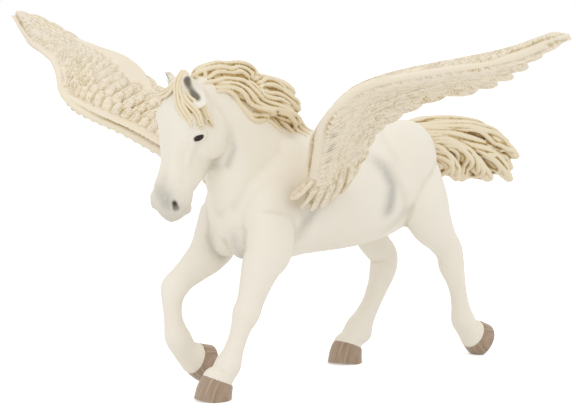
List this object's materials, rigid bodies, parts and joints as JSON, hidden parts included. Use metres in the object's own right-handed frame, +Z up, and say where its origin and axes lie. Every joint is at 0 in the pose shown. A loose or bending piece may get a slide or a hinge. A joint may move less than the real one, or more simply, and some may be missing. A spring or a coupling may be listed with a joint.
{
  "type": "pegasus figurine",
  "caption": "Moulded toy winged horse stepping forward on three hooves, wings raised and spread, with carved feathers, mane and tail.",
  "frame": {"origin": "on the floor, under the middle of the bounding box", "axes": "+Z up, the horse faces -X, its left side is towards -Y"},
  "size_m": [0.1626, 0.274, 0.1201],
  "materials": {
    "painted_vinyl": "matt, hand painted"
  },
  "bodies": {
    "root": {"pegasus_figurine": "painted_vinyl"}
  },
  "joints": []
}
